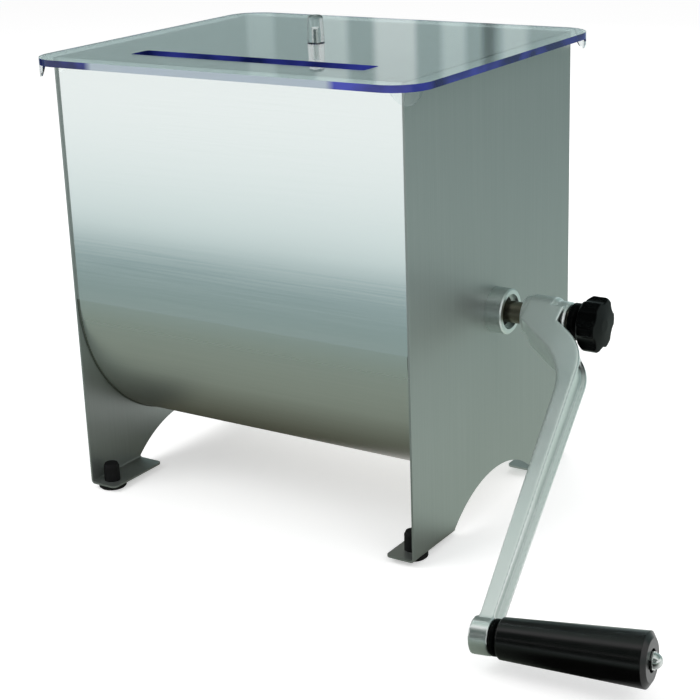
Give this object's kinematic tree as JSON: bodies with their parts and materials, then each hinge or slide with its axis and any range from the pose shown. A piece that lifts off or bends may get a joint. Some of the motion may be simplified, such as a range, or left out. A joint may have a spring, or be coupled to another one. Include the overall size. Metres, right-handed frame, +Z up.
{
  "type": "manual meat mixer",
  "caption": "Hand-cranked meat mixer: round-bottomed steel trough on legged end plates, with a paddle shaft, an offset crank with a turning grip, a star knob and a clear lift-off lid.",
  "frame": {"origin": "on the table, under the middle of the hopper, in the plane of the four rubber feet", "axes": "+X along the paddle shaft towards the crank, -Y towards the front where the lid's filling slot is, +Z up"},
  "size_m": [0.5378, 0.3745, 0.366],
  "materials": {
    "sheet_steel": "brushed stainless sheet, slightly green-grey",
    "turned_steel": "satin turned stainless",
    "cast_aluminium": "satin die-cast, light grey",
    "black_nylon": "matte",
    "white_nylon": "matte",
    "gloss_black": "glossy moulded plastic",
    "grip_black": "satin moulded plastic",
    "bright_nut": "bright plated",
    "clear_acrylic": "clear, polished, blue-violet at the edges",
    "foot_rubber": "matte black rubber"
  },
  "bodies": {
    "hopper": {"trough_shell": "sheet_steel", "left_end_plate": "sheet_steel", "right_end_plate": "sheet_steel", "foot_front_left": "foot_rubber", "foot_front_right": "foot_rubber", "foot_rear_left": "foot_rubber", "foot_rear_right": "foot_rubber", "drive_boss": "turned_steel", "drive_bush": "black_nylon", "idle_boss": "turned_steel", "idle_bush": "black_nylon"},
    "crank": {"drive_thrust_washer": "white_nylon", "idle_thrust_washer": "white_nylon", "paddle_shaft": "turned_steel", "paddle_rod_1": "turned_steel", "paddle_rod_2": "turned_steel", "paddle_rod_3": "turned_steel", "paddle_rod_4": "turned_steel", "paddle_blade_1": "turned_steel", "paddle_blade_2": "turned_steel", "paddle_blade_3": "turned_steel", "paddle_blade_4": "turned_steel", "crank_arm": "cast_aluminium", "crank_washer": "turned_steel", "grip_spindle": "turned_steel", "grip_neck_ring": "grip_black", "grip_washer": "bright_nut", "grip_cap_nut": "bright_nut"},
    "grip": {"grip_sleeve": "grip_black"},
    "knob_carrier": {"knob_collar": "gloss_black"},
    "knob": {"star_knob": "gloss_black", "knob_stud": "turned_steel"},
    "lid": {"lid_panel": "clear_acrylic", "lid_knob": "clear_acrylic", "lid_knob_screw": "turned_steel"}
  },
  "joints": [
    {"name": "crank_turn", "type": "hinge", "parent": "hopper", "child": "crank", "pos_m": [0, 0, 0.158], "axis": [1, 0, 0], "continuous": true},
    {"name": "grip_spin", "type": "hinge", "parent": "crank", "child": "grip", "pos_m": [0.25954, -0.22286, 0.02409], "axis": [0.9925, 0.1045, 0.0628], "continuous": true},
    {"name": "knob_travel", "type": "slide", "parent": "crank", "child": "knob_carrier", "axis": [1, 0, 0], "range_m": [0, 0.012]},
    {"name": "knob_turn", "type": "hinge", "parent": "knob_carrier", "child": "knob", "pos_m": [0, 0, 0.158], "axis": [1, 0, 0], "range_deg": [0, 4320]},
    {"name": "lid_lift", "type": "slide", "parent": "hopper", "child": "lid", "axis": [0, 0, 1], "range_m": [0, 0.12]}
  ],
  "couplings": [
    {"joint": "knob_travel", "follows": "knob_turn", "m_per_rad": 0.00015915}
  ]
}
